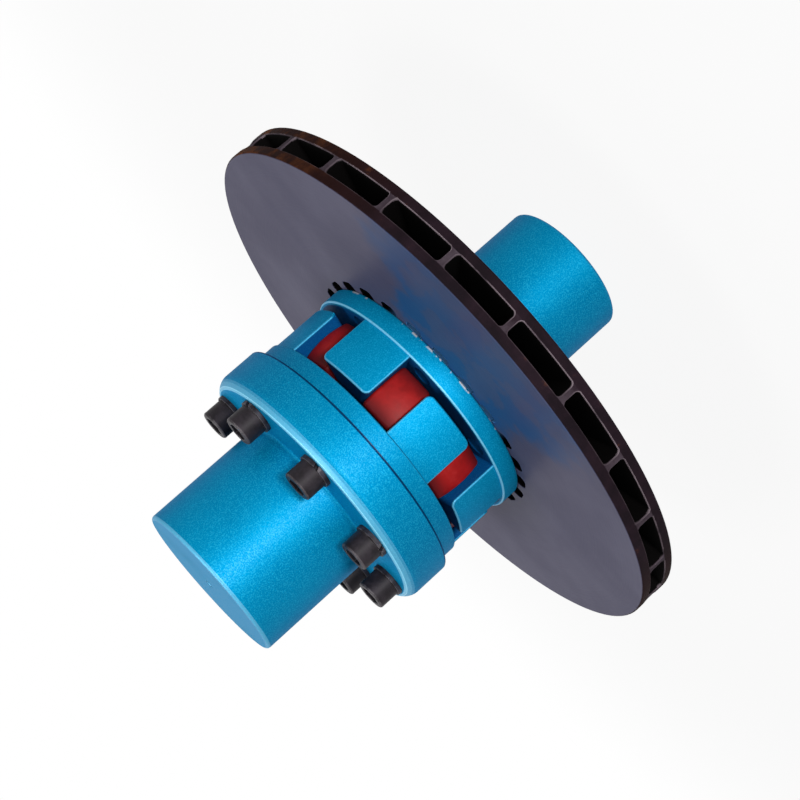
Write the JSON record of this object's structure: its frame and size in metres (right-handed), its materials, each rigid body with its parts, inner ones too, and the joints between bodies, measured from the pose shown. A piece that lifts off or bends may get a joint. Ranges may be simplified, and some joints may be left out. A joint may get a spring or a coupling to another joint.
{
  "type": "jaw coupling with brake disc",
  "caption": "Flexible jaw coupling: two flanged hubs joined by bolted claw rings and an elastomer spider, with a ventilated brake disc clamped behind one claw ring.",
  "frame": {"origin": "centre of the brake hub's end face, on which the coupling stands", "axes": "+Z along the shaft axis, from the brake hub to the drive hub; +X through the middle of a claw of the drive claw ring"},
  "size_m": [0.45, 0.45, 0.363],
  "materials": {
    "blue_paint": "blue metallic paint with a fine fleck",
    "red_elastomer": "red moulded polyurethane, satin",
    "disc_iron": "machined grey iron, rim darkened and rust tinted",
    "black_steel": "black oxide, satin",
    "washer_steel": "dark phosphated spring steel"
  },
  "bodies": {
    "root": {"drive_hub": "blue_paint", "brake_hub": "blue_paint", "drive_claw_ring": "blue_paint", "brake_claw_ring": "blue_paint", "spider": "red_elastomer", "brake_disc": "disc_iron", "drive_screws": "black_steel", "drive_washers": "washer_steel", "brake_screws": "black_steel", "brake_washers": "washer_steel"}
  },
  "joints": []
}
